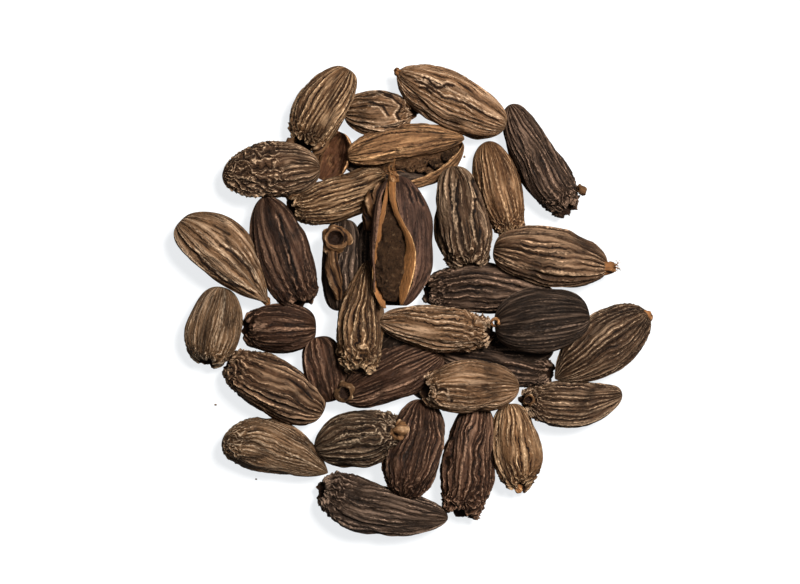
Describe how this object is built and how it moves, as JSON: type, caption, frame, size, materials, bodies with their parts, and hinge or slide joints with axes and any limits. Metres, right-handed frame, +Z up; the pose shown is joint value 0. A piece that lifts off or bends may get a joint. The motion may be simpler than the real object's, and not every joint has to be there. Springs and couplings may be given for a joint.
{
  "type": "heap of black cardamom pods",
  "caption": "Loose heap of dried black cardamom pods: ridged, wrinkled brown husks lying in a rough round two layers high, some split open with the seeds showing.",
  "frame": {"origin": "on the table, under the middle of the heap's outline seen from above", "axes": "+Z up from the table; +Y towards the top of the picture, which looks straight down; +X to the right, the heap's longer way"},
  "size_m": [0.1442, 0.1418, 0.0227],
  "materials": {
    "husk": "dry wrinkled plant husk, matt with a faint sheen on the ridges, in tones from greyish tan to very dark purple-brown",
    "inner_wall": "papery inner wall and stalk fibre, orange-brown, thin and slightly shiny",
    "seed": "small angular seeds in a dull grey-brown dried pulp"
  },
  "bodies": {
    "root": {"pod_heap": "husk"}
  },
  "joints": []
}
